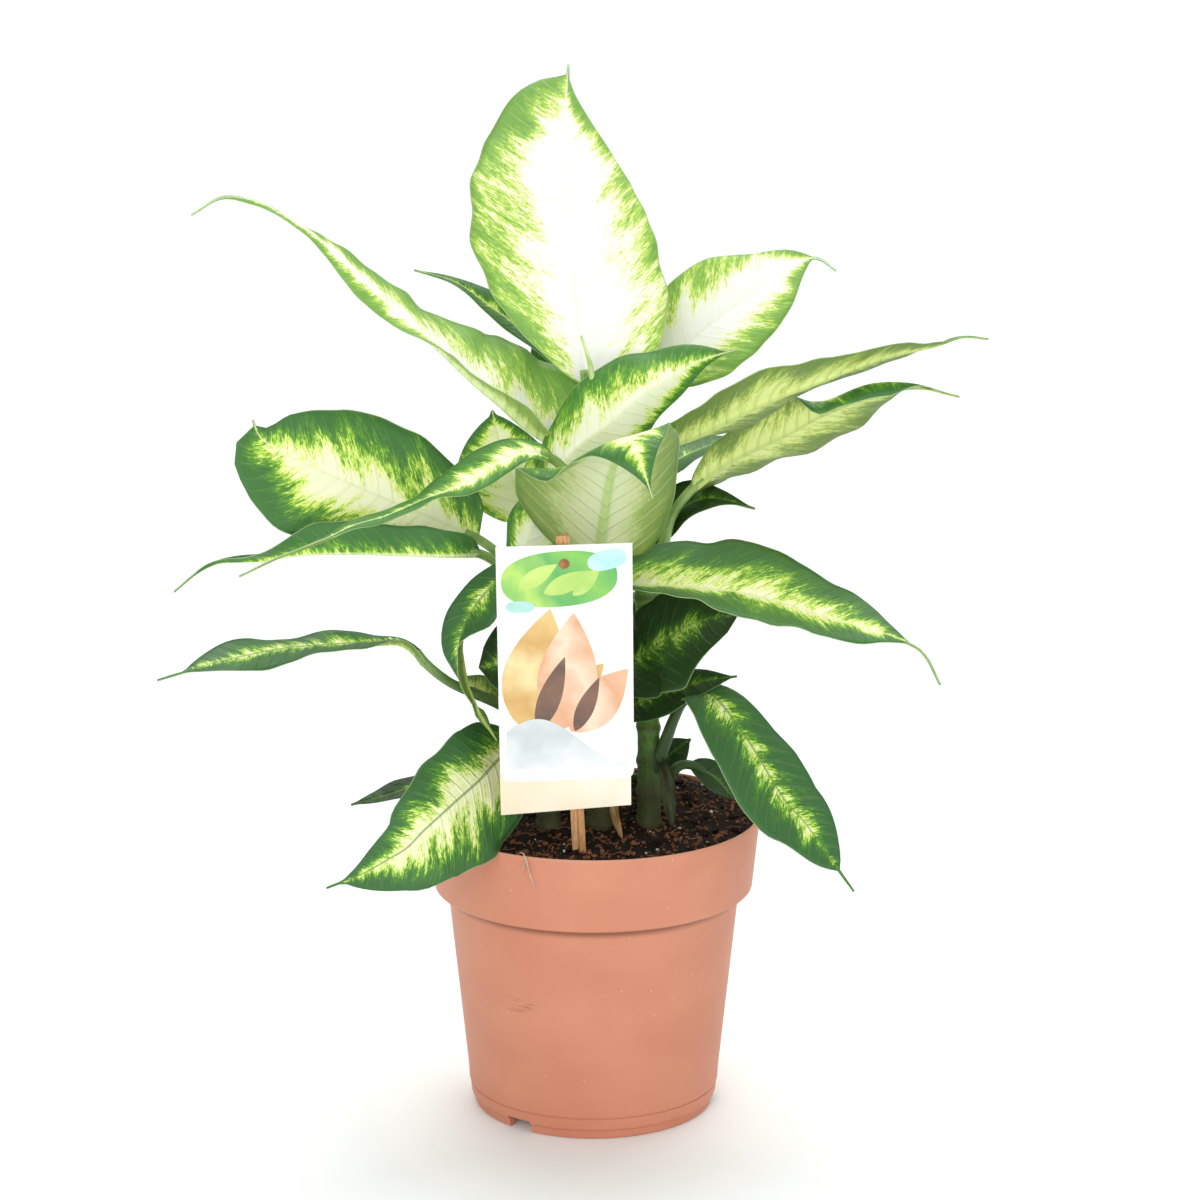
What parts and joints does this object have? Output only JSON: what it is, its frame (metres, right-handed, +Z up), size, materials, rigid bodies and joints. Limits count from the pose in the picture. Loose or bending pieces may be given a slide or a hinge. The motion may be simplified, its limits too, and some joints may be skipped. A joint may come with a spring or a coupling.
{
  "type": "potted dieffenbachia",
  "caption": "Variegated dieffenbachia in a round nursery pot with a wide collar, with soil and a plant label on a wooden stake.",
  "frame": {"origin": "middle of the pot's foot, on the surface that the pot stands on", "axes": "+Z up along the pot's axis, -Y the front, where the label faces, +X to the right seen from the front"},
  "size_m": [0.4026, 0.2356, 0.5224],
  "materials": {
    "pot": "terracotta-coloured moulded plastic, slight sheen",
    "peat": "moist peat with fibres and white perlite grains",
    "cane": "smooth green stem with ring scars",
    "leaf": "satin green with a cream, feathered middle",
    "young_leaf": "satin, mostly cream with a green margin",
    "old_leaf": "satin dark green with a lime middle",
    "card": "coated card with a plain printed pattern",
    "tag": "uncoated tan card",
    "stake_wood": "bare wood",
    "peg_wood": "bare wood, rounded front"
  },
  "bodies": {
    "root": {"cane_centre": "cane", "cane_left": "cane", "cane_right": "cane", "cane_back": "cane", "leaf_new_rolled": "young_leaf", "leaf_crown": "young_leaf", "leaf_upper_right": "young_leaf", "leaf_left_long": "young_leaf", "leaf_behind_crown_left": "leaf", "leaf_centre_arch": "young_leaf", "leaf_centre_front": "leaf", "leaf_left_broad": "leaf", "leaf_left_strap": "leaf", "leaf_left_under": "leaf", "leaf_behind_left": "leaf", "leaf_right_upper": "leaf", "leaf_right_second": "leaf", "leaf_behind_right": "leaf", "leaf_right_mid": "old_leaf", "leaf_right_below": "old_leaf", "leaf_right_low": "old_leaf", "leaf_right_droop": "old_leaf", "leaf_left_droop": "old_leaf", "leaf_left_droop_behind": "old_leaf", "leaf_far_left": "old_leaf", "leaf_hang_left": "old_leaf", "leaf_behind_label_left": "leaf", "leaf_low_left_strip": "leaf", "leaf_behind_low_right": "leaf", "leaf_low_right": "leaf", "leaf_back_crown": "leaf", "leaf_back_left": "leaf", "leaf_back_right": "leaf", "leaf_back_low": "leaf", "leaf_back_low_left": "leaf", "leaf_back_low_right": "leaf", "label_card": "card", "label_tag": "tag", "stake": "stake_wood", "label_peg": "peg_wood", "pot": "pot", "soil": "peat"}
  },
  "joints": []
}
